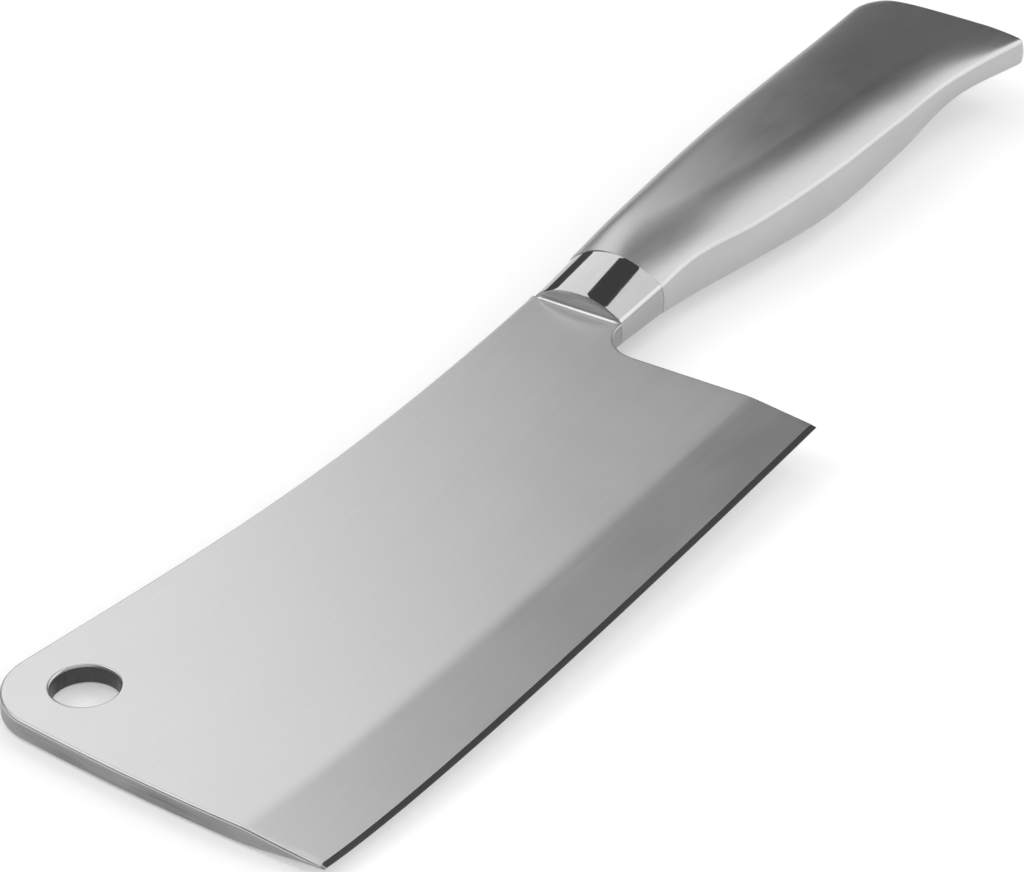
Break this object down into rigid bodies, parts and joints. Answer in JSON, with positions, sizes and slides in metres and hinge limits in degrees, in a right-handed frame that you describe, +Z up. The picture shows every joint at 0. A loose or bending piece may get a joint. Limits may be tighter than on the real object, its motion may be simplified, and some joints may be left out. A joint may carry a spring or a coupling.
{
  "type": "chopping knife",
  "caption": "Broad kitchen chopping knife with a bowed edge, a hanging hole in the front corner, a polished bolster and a hollow steel handle that widens to a beaked butt.",
  "frame": {"origin": "on the table, under the middle of the box around the knife as it lies on its right side", "axes": "+X from the handle's butt towards the blade's front, +Y from the spine towards the cutting edge, +Z up from the table, out of the blade's left side"},
  "size_m": [0.281, 0.0778, 0.0174],
  "materials": {
    "blade_steel": "fine satin, ground along the edge",
    "polished_steel": "mirror polished, with a ground front face",
    "plain_steel": "plain rolled bar",
    "handle_steel": "satin, brushed along the handle",
    "filling": "dull cast filling"
  },
  "bodies": {
    "root": {"blade": "blade_steel", "bolster": "polished_steel", "tang": "plain_steel", "handle_shell_left": "handle_steel", "handle_shell_right": "handle_steel", "handle_filling": "filling"}
  },
  "joints": []
}
